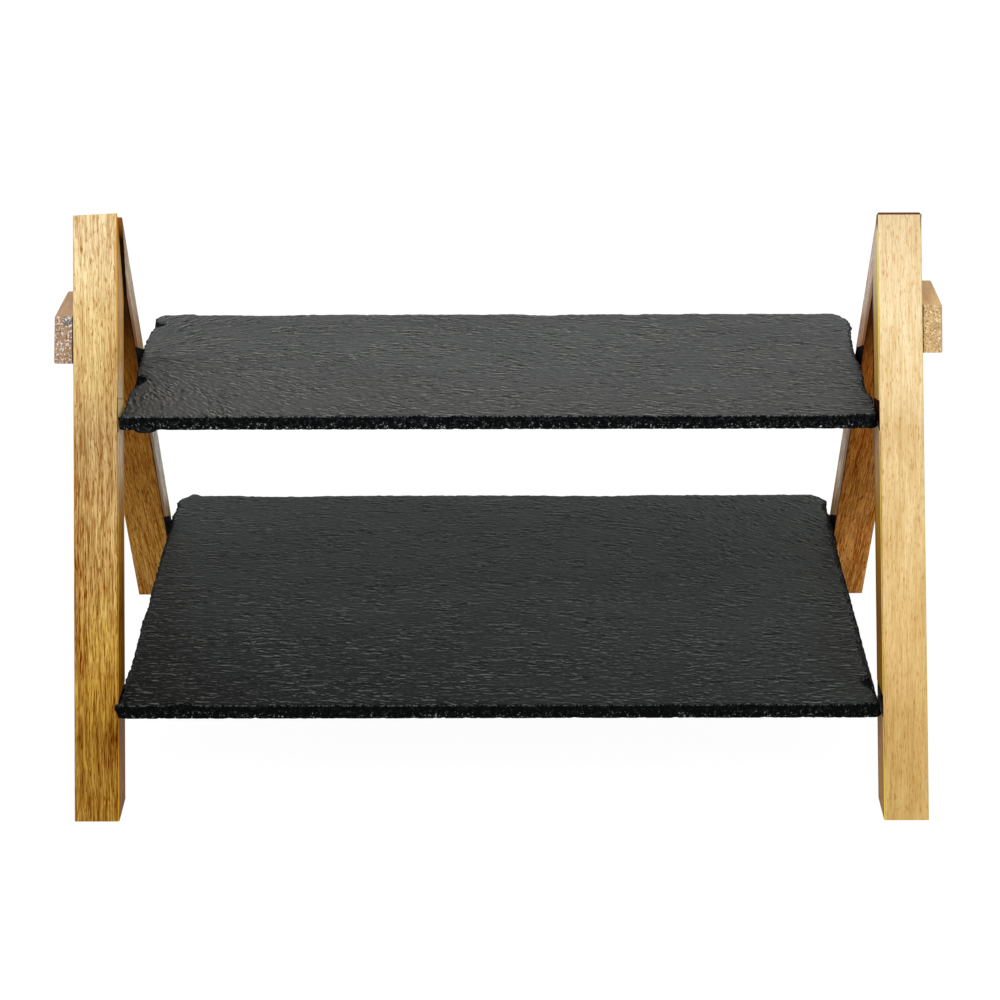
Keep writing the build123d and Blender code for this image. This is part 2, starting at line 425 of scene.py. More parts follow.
# %% A leg's finish
def leg_finish(name, leans_back, shift, look):
    """Lacquered wood for one leg. leans_back is 1 on a front leg, -1 on a rear one."""
    material, tree, shader = new_material(name)
    at = object_place(tree)
    grain = add(tree, "ShaderNodeMapping", {"Vector": at})
    grain.inputs["Rotation"].default_value = (leans_back * leg_tilt, radians(look["run_out"]), 0)
    found = use_group(tree, masks, {"Foot Shift": shift[0], "Top Shift": shift[1]})
    # The tone ramp holds painted light: lighter towards the top of the front legs, a dip just below the
    # upper slate for its painted shadow, and a darker top on the rear legs as painted shade. The inner
    # ramp's near-white stops are a painted sheen, and its dark stops are painted shade.
    tone = ramp(tree, found["Rise"], look["tone"])
    inner = ramp(tree, found["Rise"], look["inner"])
    tone = blended(tree, times(tree, found["Inner"], 0.9), tone, inner)
    lively = between(tree, found["Rise"], 0.85, 0.30)
    streak = maths(tree, "MULTIPLY_ADD", lively, look["streak"][0] - look["streak"][1], look["streak"][1])
    patch = maths(tree, "MULTIPLY_ADD", lively, look["patch"][0] - look["patch"][1], look["patch"][1])
    figure = use_group(tree, wood, {
        "Grain": grain.outputs[0], "Tone": tone, "Stain": look["stain"], "Pore": look["pore"],
        "Patch": patch, "Band": look["band"], "Streak": streak, "Pores": look["pores"],
        "Wander": look["wander"],
    })
    # A painted yellow highlight along the inner arris of the front legs, and painted shade along the arrises
    # of the rear legs.
    inner_line = times(tree, found["Inner Arris"], 0.85)
    arris_glint_and_shade = maths(tree, "MULTIPLY_ADD", found["Outer Arris"], 0.25, inner_line)
    finish = blended(tree, arris_glint_and_shade, figure["Color"], colour(*look["arris"]))
    # Painted shade on the faces that look down just under the mitre, used on the rear legs.
    near_joint = times(tree, found["Under"], between(tree, found["Rise"], 0.64, 0.80))
    finish = blended(tree, times(tree, near_joint, look["under_joint_shade"]),
                     finish, colour(50, 22, 6))
    # Painted shade on the mitre faces, black low down and lighter near the top.
    seam = ramp(tree, found["Rise"], [(0.955, (10, 5, 2)), (0.985, (150, 92, 36))])
    finish = blended(tree, times(tree, found["Mitre"], 0.96), finish, seam)
    finish = blended(tree, times(tree, found["Tip"], look["tip_dark"]),
                     finish, colour(92, 36, 14))
    # Painted shade on the housings' roofs and floors.
    finish = blended(tree, times(tree, found["Housing"], 0.96), finish, colour(*look["cut"]))
    # A painted line along the far edge of the inner face: a highlight on the left front leg, and shade high
    # up on the right front leg.
    far_line = times(tree, found["Far Line"], found["Inner"])
    finish = blended(tree, far_line, finish, ramp(tree, found["Rise"], look["far_line"]))
    # The back wall of each housing: painted shade, except in the left front leg's upper housing, where it is
    # a painted cream highlight.
    housing_light_and_shade = ramp(tree, found["Rise"], [(0.45, look["cut"]), (0.55, look["upper_housing_light_and_shade"])])
    housing_light_and_shade = blended(tree, found["Near Line"], housing_light_and_shade, colour(*look["cut"]))
    finish = blended(tree, found["Bottom"], finish, housing_light_and_shade)
    put(shader, "Base Color", finish)
    shader.inputs["Roughness"].default_value = 0.42
    shader.inputs["IOR"].default_value = 1.45
    shader.inputs["Specular IOR Level"].default_value = 0.02
    bump = add(tree, "ShaderNodeBump", {"Height": figure["Height"], "Distance": 0.0001, "Strength": 0.5})
    put(shader, "Normal", bump.outputs[0])
    return material


# %% What each leg looks like
# tone and inner: stops of colour from the foot, 0, to the top, 1; both hold painted light and shade as well
# as the wood's tone
# shift: how far the foot and the top stand out of true along X, in metres
# The arris colour is a painted highlight on the front legs and painted shade on the rear ones, the cut
# colour is painted shade in the housings, and the upper housing colour, the far line stops and the joint
# share are painted light and shade as well.
legs = {
    "left_front": {
        "shift": (0.0006, -0.0014),
        "tone": [(0.03, (162, 120, 46)), (0.14, (146, 104, 34)), (0.22, (168, 124, 48)),
                 (0.31, (178, 136, 62)), (0.46, (186, 146, 86)), (0.63, (182, 147, 94)),
                 (0.73, (206, 172, 112)), (0.83, (224, 192, 132)), (0.97, (232, 204, 156))],
        "inner": [(0.10, (139, 87, 5)), (0.32, (142, 88, 3)), (0.48, (201, 143, 38)),
                  (0.60, (252, 221, 182)), (0.68, (240, 222, 196)), (0.76, (232, 184, 118)),
                  (0.97, (226, 180, 112))],
        "stain": (0.21, 0.31, 0.43, 1), "pore": (0.60, 0.38, 0.17, 1), "arris": (224, 158, 36),
        "patch": (0.75, 0.2), "band": 0.35, "streak": (1.6, 0.75), "pores": 1.0, "wander": 0.0018,
        "run_out": 1.0, "under_joint_shade": 0.0, "tip_dark": 0.0, "cut": (14, 6, 3), "upper_housing_light_and_shade": (255, 226, 160),
        "far_line": [(0.20, (150, 96, 12)), (0.45, (220, 150, 36)), (0.90, (236, 172, 60))],
    },
    "right_front": {
        "shift": (0.0012, -0.0006),
        "tone": [(0.04, (212, 174, 106)), (0.15, (210, 170, 102)), (0.30, (228, 190, 124)),
                 (0.46, (236, 202, 142)), (0.58, (244, 214, 158)), (0.64, (234, 202, 146)),
                 (0.72, (249, 222, 170)), (0.90, (250, 224, 176)), (0.98, (242, 216, 170))],
        "inner": [(0.10, (167, 106, 5)), (0.32, (134, 83, 3)), (0.48, (190, 132, 6)), (0.60, (183, 134, 63)),
                  (0.70, (186, 140, 70)), (0.82, (206, 162, 72)), (0.94, (236, 218, 172))],
        "stain": (0.11, 0.17, 0.29, 1), "pore": (0.74, 0.50, 0.28, 1), "arris": (236, 216, 74),
        "patch": (0.45, 0.35), "band": 0.3, "streak": (0.55, 0.5), "pores": 0.75, "wander": 0.0012,
        "run_out": -0.6, "under_joint_shade": 0.0, "tip_dark": 0.95, "cut": (26, 5, 3), "upper_housing_light_and_shade": (44, 20, 6),
        "far_line": [(0.50, (150, 100, 30)), (0.66, (120, 70, 20)), (0.72, (14, 7, 4)), (0.93, (14, 7, 4))],
    },
    "left_rear": {
        "shift": (-0.0006, 0.0010),
        "tone": [(0.02, (212, 152, 72)), (0.15, (214, 154, 68)), (0.30, (194, 134, 54)),
                 (0.50, (184, 122, 44)), (0.66, (150, 94, 26)), (0.97, (168, 108, 40))],
        "inner": [(0.20, (190, 150, 104)), (0.28, (255, 236, 200)), (0.47, (255, 255, 244)),
                  (0.62, (214, 168, 112)), (0.74, (212, 178, 136)), (0.88, (230, 206, 172)),
                  (0.98, (170, 120, 60))],
        "stain": (0.20, 0.32, 0.55, 1), "pore": (0.38, 0.26, 0.14, 1), "arris": (44, 18, 12),
        "patch": (0.25, 0.2), "band": 0.4, "streak": (1.1, 0.8), "pores": 1.0, "wander": 0.0014,
        "run_out": 2.0, "under_joint_shade": 0.85, "tip_dark": 0.5, "cut": (6, 3, 2), "upper_housing_light_and_shade": (6, 3, 2),
        "far_line": [(0.30, (190, 150, 110)), (0.60, (150, 90, 50)), (0.90, (170, 120, 80))],
    },
    "right_rear": {
        "shift": (-0.0003, -0.0003),
        "tone": [(0.02, (246, 172, 88)), (0.15, (240, 160, 76)), (0.30, (208, 136, 60)),
                 (0.50, (194, 118, 44)), (0.66, (170, 98, 32)), (0.97, (154, 88, 36))],
        "inner": [(0.20, (170, 124, 80)), (0.34, (255, 226, 184)), (0.47, (252, 214, 190)),
                  (0.62, (194, 134, 88)), (0.80, (226, 196, 172)), (0.96, (241, 217, 201))],
        "stain": (0.22, 0.34, 0.56, 1), "pore": (0.34, 0.22, 0.12, 1), "arris": (44, 18, 12),
        "patch": (0.3, 0.2), "band": 0.5, "streak": (1.2, 0.9), "pores": 1.0, "wander": 0.0016,
        "run_out": -2.0, "under_joint_shade": 0.8, "tip_dark": 0.5, "cut": (6, 3, 2), "upper_housing_light_and_shade": (6, 3, 2),
        "far_line": [(0.30, (190, 150, 110)), (0.60, (150, 90, 50)), (0.90, (170, 120, 80))],
    },
}
leg_woods = {}
for leg, look in legs.items():
    leg_woods[leg] = leg_finish(f"{leg}_wood", 1 if leg.endswith("front") else -1, look["shift"], look)
print("finishes for", ", ".join(leg_woods))

# %% [markdown]
# ## The legs
#
# Each leg has been fitted by hand and stands a hair out of true: the front ones lean a
# millimetre or two to one side over their height, which opens a fine dark line between a front
# leg and the one behind it. Their tops were cut by hand too, so one slopes, the rear ones are a
# little short, and one has its corners rubbed round. The housings are shown as shallow as they
# look. A CAD solid must stay as it is, so each leg is a copy of the solid's mesh, with every
# point moved sideways by an amount that grows evenly from the foot to the top, and the topmost
# points moved up or down.


# %% Legs
millimetre = 0.001
cad_bottom = 0.2008       # where the solid's housings end
shown_bottom = 0.1991     # the real ones are much shallower
slope = tan(leg_tilt)


def rounding(share, start=0.86):
    """How far a quarter circle has dropped, from 0 where it starts to 1 at the corner itself."""
    along = min(1.0, max(0.0, (share - start) / (1 - start)))
    return 1 - sqrt(1 - along * along)


def fitted_leg(leg, slant=0.0, taller=0.0, rubbed=0.0, roofs=()):
    """A copy of one leg that leans along X. Its top may be cut aslant, taller or shorter, or be rubbed.

    roofs holds, for each housing, the level of the roof's tight end and how much of its rise stays.
    """
    side = leg.split("_")[0]
    node = f"{leg}_leg"
    foot_shift, top_shift = legs[leg]["shift"]
    low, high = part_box(node)
    middle = (low.x + high.x) / 2
    half = (high.x - low.x) / 2
    outer = -1 if side == "left" else 1
    mesh = frame["nodes"][node].data.copy()
    if rubbed:
        cut = bmesh.new()
        cut.from_mesh(mesh)
        neck = high.z - 4 * millimetre
        every = cut.verts[:] + cut.edges[:] + cut.faces[:]
        bmesh.ops.bisect_plane(cut, geom=every, plane_co=(0, 0, neck), plane_no=(0, 0, 1))
        for share in (-0.94, -0.89, 0.89, 0.94):
            tip = [face for face in cut.faces if face.calc_center_median().z > neck]
            edges = {edge for face in tip for edge in face.edges}
            tip += edges | {point for face in tip for point in face.verts}
            bmesh.ops.bisect_plane(cut, geom=tip, plane_co=(middle + share * half, 0, 0), plane_no=(1, 0, 0))
        cut.to_mesh(mesh)
        cut.free()
    for point in mesh.vertices:
        if point.co.z > high.z - millimetre:
            outwards = (point.co.x - middle) / half * outer
            point.co.z += taller - slant * (1 + outwards) / 2 - rubbed * rounding(abs(outwards))
        if abs(abs(point.co.x) - cad_bottom) < 0.1 * millimetre:
            point.co.x = outer * shown_bottom
        for tight, kept in roofs:
            above = point.co.z - tight
            if 0.1 * millimetre < above < 13 * millimetre:
                point.co.z -= above * (1 - kept)
                point.co.y -= above * (1 - kept) * slope
        rise = point.co.z / high.z
        point.co.x += foot_shift + (top_shift - foot_shift) * rise
    mesh.materials.clear()
    mesh.materials.append(leg_woods[leg])
    piece = bpy.data.objects.new(f"{node}_fitted", mesh)
    in_scene.link(piece)
    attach(piece, f"{side}_frame")
    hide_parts(node)
    print(node, "leans", round(1000 * (top_shift - foot_shift), 1), "mm")
    return piece


upper_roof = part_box("upper_slate")[1].z + 0.4 * millimetre
lower_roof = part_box("lower_slate")[1].z + 0.4 * millimetre
fitted_leg("left_front", slant=1.2 * millimetre, taller=1.4 * millimetre)
fitted_leg("left_rear", taller=-1.2 * millimetre)
fitted_leg("right_front", taller=0.7 * millimetre, rubbed=1.5 * millimetre,
           roofs=[(upper_roof, 0.75), (lower_roof, 0.3)])
fitted_leg("right_rear", taller=-0.6 * millimetre)

# %% [markdown]
# ## The crossbars
#
# A short bar ties each A-frame on its outer side. Its ends are sawn across the grain, and end
# grain looks different: specks instead of streaks, and a duller colour because it drinks more
# lacquer. The material tells an end from a side by the direction that the surface faces. A thin
# dark band on each end, next to the leg, is the painted shadow of the crevice between bar and leg.
# The left bar was screwed on a little askew, so its front end stands off the leg and leaves a gap.
# That is a change of shape, so this bar is a copy of the solid's mesh that replaces it.


# %% A crossbar's finish
def crossbar_finish(name, side_tone, end_tone, hollow, fleck, seam_x, smear=None):
    """Long grain along Y on the sides, specks on the sawn ends, painted shadow at the leg, a grey smear."""
    material, tree, shader = new_material(name)
    at = object_place(tree)
    grain = add(tree, "ShaderNodeMapping", {"Vector": at, "Rotation": (pi / 2, 0, 0)})
    figure = use_group(tree, wood, {
        "Grain": grain.outputs[0], "Tone": colour(*side_tone), "Stain": (0.12, 0.16, 0.24, 1),
        "Pore": (0.6, 0.5, 0.35, 1), "Patch": 0.2, "Band": 0.3, "Streak": 0.5, "Pores": 0.4,
        "Wander": 0.0008,
    })
    vessels = cloud(tree, scaled(tree, at, 1150, 700, 1050), 1.0, 0.5)
    chalk = cloud(tree, scaled(tree, shifted(tree, at, (0.3, 0.1, 0.2)), 1000, 700, 900), 2.0, 0.6)
    cloudy = signed(tree, cloud(tree, scaled(tree, at, 240, 60, 240), 2.0), 0.3, 0.7)
    shade = add(tree, "ShaderNodeCombineXYZ")
    for axis in "XYZ":
        put(shade, axis, maths(tree, "MULTIPLY_ADD", cloudy, -0.14, 1.0))
    end = blended(tree, 1.0, colour(*end_tone), shade.outputs[0], "MULTIPLY")
    hollows = times(tree, between(tree, vessels, 0.55, 0.66), 0.85)
    end = blended(tree, hollows, end, colour(*hollow))
    end = blended(tree, times(tree, between(tree, chalk, 0.55, 0.63), 0.9), end, colour(*fleck))
    if smear:
        away = add(tree, "ShaderNodeVectorMath", {0: at, 1: smear}, operation="DISTANCE").outputs["Value"]
        around = times(tree, between(tree, away, 0.0042, 0.0016), between(tree, chalk, 0.62, 0.48))
        end = blended(tree, around, end, colour(112, 108, 108))
    inwards = maths(tree, "ABSOLUTE", parted(tree, at)["X"])
    # A thin band of painted shadow on the end, beside the leg.
    end = blended(tree, between(tree, inwards, seam_x + 0.0014, seam_x + 0.0008), end, colour(16, 8, 4))
    facing = tree.nodes.new("ShaderNodeNewGeometry").outputs["Normal"]
    lengthwise = maths(tree, "ABSOLUTE", parted(tree, facing)["Y"])
    sawn = between(tree, lengthwise, 0.6, 0.8)
    put(shader, "Base Color", blended(tree, sawn, figure["Color"], end))
    shader.inputs["Roughness"].default_value = 0.5
    shader.inputs["IOR"].default_value = 1.45
    shader.inputs["Specular IOR Level"].default_value = 0.16
    rough = maths(tree, "SUBTRACT", chalk, times(tree, vessels, 1.2))
    bump = add(tree, "ShaderNodeBump", {"Height": times(tree, rough, sawn), "Distance": 0.0003})
    put(shader, "Normal", bump.outputs[0])
    return material


# %% The left crossbar, screwed on askew, and the right one
bar_low, bar_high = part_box("left_crossbar")
askew = radians(1.35)
stands_off = tan(askew) * (bar_high.y - bar_low.y)
smear_place = (bar_low.x - stands_off + 0.0072, bar_low.y + 0.010, bar_high.z - 0.0026)
bar_woods = {
    "left": crossbar_finish("left_crossbar_wood", (178, 144, 108), (168, 138, 108), (104, 72, 50),
                            (242, 236, 232), -bar_high.x + stands_off, smear_place),
    "right": crossbar_finish("right_crossbar_wood", (212, 172, 120), (212, 176, 122), (146, 98, 50),
                             (250, 236, 202), 0.2218),
}
bar_mesh = frame["nodes"]["left_crossbar"].data.copy()
for point in bar_mesh.vertices:
    point.co.x -= tan(askew) * (bar_high.y - point.co.y)
bar_mesh.materials.clear()
bar_mesh.materials.append(bar_woods["left"])
askew_bar = bpy.data.objects.new("left_crossbar_askew", bar_mesh)
in_scene.link(askew_bar)
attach(askew_bar, "left_frame")
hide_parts("left_crossbar")
frame["nodes"]["right_crossbar"].material_slots[0].material = bar_woods["right"]
print("the left crossbar's front end stands off by", round(1000 * stands_off, 1), "mm")

# %% [markdown]
# ## Slate
#
# Slate splits into sheets. A split face is nearly flat, with shallow flakes a few millimetres
# long that lie along the rock's grain. Each flake ends in a tiny step, dark on the side that
# faces away from the light and bright on the other, and that light and shade is painted into the
# colour: a painted highlight where a step climbs to the back and painted shade where it falls, so
# the face is covered in fine short dashes in loose groups. The stone group finds the steps from
# how fast a stretched noise climbs to the back. Where the surface stands steeply, as in a chip, it
# shows the black of a fresh break.

# %% The stone group
stone_inputs = [
    ("Place", "Vector", None),
    ("Face", "Color", (0.03, 0.03, 0.03, 1)),
    ("Step Glint", "Color", (0.12, 0.12, 0.12, 1)),
    ("Step Shade And Break", "Color", (0.004, 0.004, 0.004, 1)),
    ("Mottle", "Float", 0.15),
    ("Fan", "Float", 0.0),
    ("Sweep", "Float", 0.0),
    ("Drift", "Float", 0.0),
    ("Fan Y", "Float", 0.02),
]
stone_outputs = [("Color", "Color"), ("Roughness", "Float"), ("Height", "Float")]
stone, given, result = new_group("riven_stone", stone_inputs, stone_outputs)
place = parted(stone, given["Place"])
ahead = maths(stone, "MAXIMUM", maths(stone, "ADD", place["X"], 0.215), 0.02)
beside = maths(stone, "SUBTRACT", place["Y"], given["Fan Y"])
turn = maths(stone, "ARCTAN2", beside, ahead)
fading = between(stone, place["X"], -0.02, -0.17)
turn = times(stone, times(stone, turn, fading), given["Fan"])
right_rear = times(stone, between(stone, place["X"], 0.0, 0.18), between(stone, place["Y"], -0.06, 0.12))
turn = maths(stone, "SUBTRACT", turn, times(stone, right_rear, given["Sweep"]))
turn = maths(stone, "SUBTRACT", turn, given["Drift"])
sway = maths(stone, "SUBTRACT", cloud(stone, scaled(stone, given["Place"], 34, 60, 26), 2.0), 0.5)
turn = maths(stone, "MULTIPLY_ADD", sway, 0.3, turn)
turn = maths(stone, "SNAP", turn, radians(5))
turned = add(stone, "ShaderNodeVectorRotate", {"Vector": given["Place"]}, rotation_type="Z_AXIS")
put(turned, "Angle", times(stone, turn, -1.0))
along = turned.outputs[0]


def ledge(stretch_x, stretch_y, half_step, detail):
    """How fast the split face climbs to the back here: the lit and the dark side of each flake."""
    ahead = shifted(stone, along, (0, half_step, 0))
    behind = shifted(stone, along, (0, -half_step, 0))
    back = cloud(stone, scaled(stone, ahead, stretch_x, stretch_y, 300), detail, 0.5)
    front = cloud(stone, scaled(stone, behind, stretch_x, stretch_y, 300), detail, 0.5)
    return maths(stone, "SUBTRACT", back, front), back


wide, flakes = ledge(160, 560, 0.0008, 1.0)
narrow, nicks = ledge(290, 860, 0.0005, 1.0)
calm = between(stone, cloud(stone, scaled(stone, given["Place"], 50, 90, 50), 2.0), 0.34, 0.60)
calm = maths(stone, "MULTIPLY_ADD", calm, 0.6, 0.4)
# bright is a painted highlight on the steps that climb to the back, and dark is painted shade on those that
# fall.
bright = maths(stone, "MAXIMUM", between(stone, wide, 0.16, 0.24), between(stone, narrow, 0.17, 0.25))
dark = maths(stone, "MAXIMUM", between(stone, wide, -0.12, -0.20), between(stone, narrow, -0.13, -0.21))
bright = times(stone, bright, calm)
dark = times(stone, dark, calm)
broad = signed(stone, cloud(stone, scaled(stone, given["Place"], 12, 26, 20), 3.0), 0.32, 0.68)
grainy = signed(stone, cloud(stone, scaled(stone, along, 420, 700, 300), 1.0), 0.3, 0.7)
lighter = maths(stone, "MULTIPLY_ADD", grainy, 0.8, broad)
lighter = maths(stone, "MULTIPLY_ADD", lighter, given["Mottle"], 1.0)
tint = add(stone, "ShaderNodeCombineXYZ", {"X": lighter, "Y": lighter, "Z": lighter}).outputs[0]
face = blended(stone, 1.0, given["Face"], tint, "MULTIPLY")
face = blended(stone, times(stone, bright, 0.5), face, given["Step Glint"])
face = blended(stone, times(stone, dark, 0.85), face, given["Step Shade And Break"])
facing = stone.nodes.new("ShaderNodeNewGeometry").outputs["True Normal"]
upright = maths(stone, "ABSOLUTE", parted(stone, facing)["Z"])
broken = between(stone, upright, 0.95, 0.84)
put(result, "Color", blended(stone, broken, face, given["Step Shade And Break"]))
uneven = maths(stone, "MULTIPLY_ADD", dark, 0.15, maths(stone, "MULTIPLY_ADD", broken, 0.3, 0.5))
put(result, "Roughness", uneven)
relief = maths(stone, "MULTIPLY_ADD", flakes, 1.4, times(stone, nicks, 0.6))
put(result, "Height", relief)
print("stone group:", len(stone.nodes), "nodes")


# %% A finish for each slate's faces, and one for the broken edges
def stone_finish(name, faces, step_glint, step_shade_and_break, shine, lie):
    """Split slate. lie says how its flakes lie: fan out on the left, sweep at the right rear, and drift."""
    material, tree, shader = new_material(name)
    at = object_place(tree)
    place = parted(tree, at)
    # Painted sheen and shade: the ramp makes the face lighter towards the back and, at the front, towards
    # the right, most strongly on the lower slate.
    far = between(tree, place["Y"], -0.14, 0.15)
    aside = times(tree, maths(tree, "SUBTRACT", 1.0, far), times(tree, place["X"], 1.2))
    wear_and_sheen = maths(tree, "ADD", maths(tree, "MULTIPLY_ADD", far, 0.8, 0.2), aside, clamp=True)
    found = use_group(tree, stone, {
        "Place": at, "Face": ramp(tree, wear_and_sheen, faces), "Step Glint": colour(*step_glint), "Step Shade And Break": colour(*step_shade_and_break),
        "Mottle": 0.1, **lie,
    })
    put(shader, "Base Color", found["Color"])
    put(shader, "Roughness", found["Roughness"])
    shader.inputs["IOR"].default_value = 1.45
    shader.inputs["Specular IOR Level"].default_value = shine
    bump = add(tree, "ShaderNodeBump", {"Height": found["Height"], "Distance": 0.0004})
    put(shader, "Normal", bump.outputs[0])
    return material


def edge_finish(name, deep, lit, speck, node):
    """The dressed edge: black rock with grey lumps, pale crumbs low down and a painted highlight as a broken
    pale line along the rim.
    """
    material, tree, shader = new_material(name)
    low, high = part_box(node)
    at = object_place(tree)
    height = parted(tree, at)["Z"]
    lower_half = between(tree, height, high.z - 0.0025, low.z + 0.0012)
    grit = cloud(tree, scaled(tree, at, 430, 430, 420), 3.0, 0.7)
    dust = cloud(tree, scaled(tree, at, 1100, 1100, 900), 2.0, 0.6)
    lumps = times(tree, between(tree, grit, 0.50, 0.66), 0.8)
    rock = blended(tree, lumps, colour(*deep), colour(*lit))
    crumbs = times(tree, between(tree, dust, 0.58, 0.65), between(tree, grit, 0.46, 0.60))
    crumbs = times(tree, crumbs, maths(tree, "MULTIPLY_ADD", lower_half, 0.85, 0.08))
    # A broken pale line along the upper rim is a painted highlight where the rim catches the light.
    near_rim = between(tree, height, high.z - 0.0010, high.z - 0.0004)
    rim_glint = times(tree, near_rim, between(tree, dust, 0.48, 0.60))
    crumbs = maths(tree, "MAXIMUM", crumbs, times(tree, rim_glint, 0.32))
    put(shader, "Base Color", blended(tree, crumbs, rock, colour(*speck)))
    shader.inputs["Roughness"].default_value = 0.8
    shader.inputs["Specular IOR Level"].default_value = 0.05
    bump = add(tree, "ShaderNodeBump", {"Height": grit, "Distance": 0.001})
    put(shader, "Normal", bump.outputs[0])
    return material


upper_stone = stone_finish("upper_slate_stone",
                           [(0.0, (54, 54, 51)), (0.3, (60, 60, 58)), (0.65, (66, 68, 67))],
                           (144, 144, 138), (10, 11, 11), 0.12,
                           {"Fan": 0.9, "Fan Y": 0.034, "Sweep": 0.0, "Drift": 0.14})
lower_stone = stone_finish("lower_slate_stone",
                           [(0.0, (16, 17, 16)), (0.25, (34, 37, 36)),
                            (0.6, (52, 55, 54)), (1.0, (64, 68, 66))],
                           (122, 126, 122), (3, 4, 4), 0.06,
                           {"Fan": 0.0, "Fan Y": 0.0, "Sweep": 0.6, "Drift": 0.03})
upper_edge = edge_finish("upper_slate_edge", (5, 6, 7), (38, 44, 44), (186, 192, 188), "upper_slate")
lower_edge = edge_finish("lower_slate_edge", (2, 3, 3), (20, 25, 25), (140, 148, 144), "lower_slate")

# %% [markdown]
# ## The two slates
#
# A slate is cut by chopping along its edge with a blunt blade, which leaves a ragged, sloping
# edge with bites and a few broken corners: seen from above, a black line runs beside the face.
# The face is a fine grid of points that is pushed in along its borders, most at the border and
# less a few millimetres in. The wall is a stack of rings from the upper rim to the lower one,
# roughened with noise, so that its facets catch the light. The underside is a coarser grid.
# Listed bites come on top of the even chipping, and the front left corner ends in a small
# rounded lip that stands out in front of the leg.

# %% Chipping along an edge
border_reach = 0.016
foot_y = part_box("left_front_leg")[0].y        # how far forwards the front legs reach at the table


def chipping(where, seed, size=1.0):
    """How far an edge is bitten back at a place along it, in metres, by the dressing blade."""
    slow = noise.noise(Vector((where * 55, seed, 0.3)))
    quick = noise.noise(Vector((where * 230, seed, 5.1)))
    crumb = noise.noise(Vector((where * 700, seed, 9.7)))
    tooth = noise.cell(Vector((where * 330, seed, 2.2)))
    bite = 0.4 + 0.45 * slow + 0.5 * quick + 0.3 * crumb + 0.3 * tooth
    return size * millimetre * max(0.0, bite)


def hand_bite(where, bites):
    """The strongest of the listed bites at this place. A bite rises sharply and tapers off."""
    strongest = 0.0
    for start, end, depth, peak in bites:
        if start < where < end:
            share = (where - start) / (end - start)
            rise = share / peak if share < peak else (1 - share) / (1 - peak)
            bite = depth * min(1.0, 1.4 * rise)
            strongest = bite if abs(bite) > abs(strongest) else strongest
    return strongest


# %% What each slate looks like from above
# bites: from, to (along the edge), depth, and where between them the bite is deepest
slates = {
    "upper": {
        "node": "upper_slate", "body": "upper_tier", "finish": upper_stone, "edge": upper_edge,
        "cells": (308, 116), "seed": 3.0,
        "inset": {"left": 0.0014, "right": 0.0012, "front": 0.0004, "rear": -0.0006},
        "shoulder": {"left": 0.0011, "right": 0.0018, "front": 0.0004, "rear": 0.0002},
        "lip": -0.0006,
        "spare": {"left": 0.0005, "right": 0.0009},
        "clips": {"front_left": 0.0010, "rear_left": 0.0030, "rear_right": 0.0045, "front_right": 0.0025},
        "bites": {
            "left": [(-0.012, 0.010, 0.0062, 0.85), (0.082, 0.092, 0.0060, 0.55),
                     (0.024, 0.078, -0.0014, 0.5)],
            "right": [(0.066, 0.098, -0.0022, 0.6), (0.020, 0.060, 0.0012, 0.4),
                      (-0.022, 0.014, 0.0022, 0.3)],
            "front": [(-0.047, -0.036, 0.0018, 0.5), (-0.027, -0.015, 0.0012, 0.6),
                      (0.180, 0.199, 0.0020, 0.6)],
            "rear": [(0.012, 0.040, 0.0018, 0.5), (0.070, 0.084, 0.0014, 0.4),
                     (-0.186, -0.174, -0.0020, 0.4), (-0.176, -0.110, 0.0010, 0.5)],
        },
    },
    "lower": {
        "node": "lower_slate", "body": "lower_tier", "finish": lower_stone, "edge": lower_edge,
        "cells": (286, 188), "seed": 8.0,
        "inset": {"left": 0.0010, "right": 0.0022, "front": 0.0004, "rear": -0.0004},
        "shoulder": {"left": 0.0016, "right": 0.0024, "front": 0.0005, "rear": 0.0003},
        "lip": -0.0013,
        "spare": {"left": 0.0011, "right": 0.0004},
        "clips": {"front_left": 0.0010, "rear_left": 0.0060, "rear_right": 0.0052, "front_right": 0.0026},
        "bites": {
            "left": [(-0.086, -0.036, 0.0008, 0.4), (-0.02, 0.02, 0.0006, 0.5), (0.115, 0.135, 0.0012, 0.6)],
            "right": [(-0.104, -0.088, 0.0042, 0.7), (-0.086, -0.040, 0.0010, 0.5),
                      (0.060, 0.118, -0.0016, 0.9), (0.124, 0.150, -0.0018, 0.3)],
            "front": [(-0.175, -0.157, 0.0024, 0.5), (0.115, 0.140, 0.0012, 0.5),
                      (0.180, 0.199, 0.0016, 0.7)],
            "rear": [(-0.196, -0.184, -0.0022, 0.6), (-0.160, -0.100, 0.0012, 0.4),
                     (0.02, 0.09, 0.0010, 0.6)],
        },
    },
}


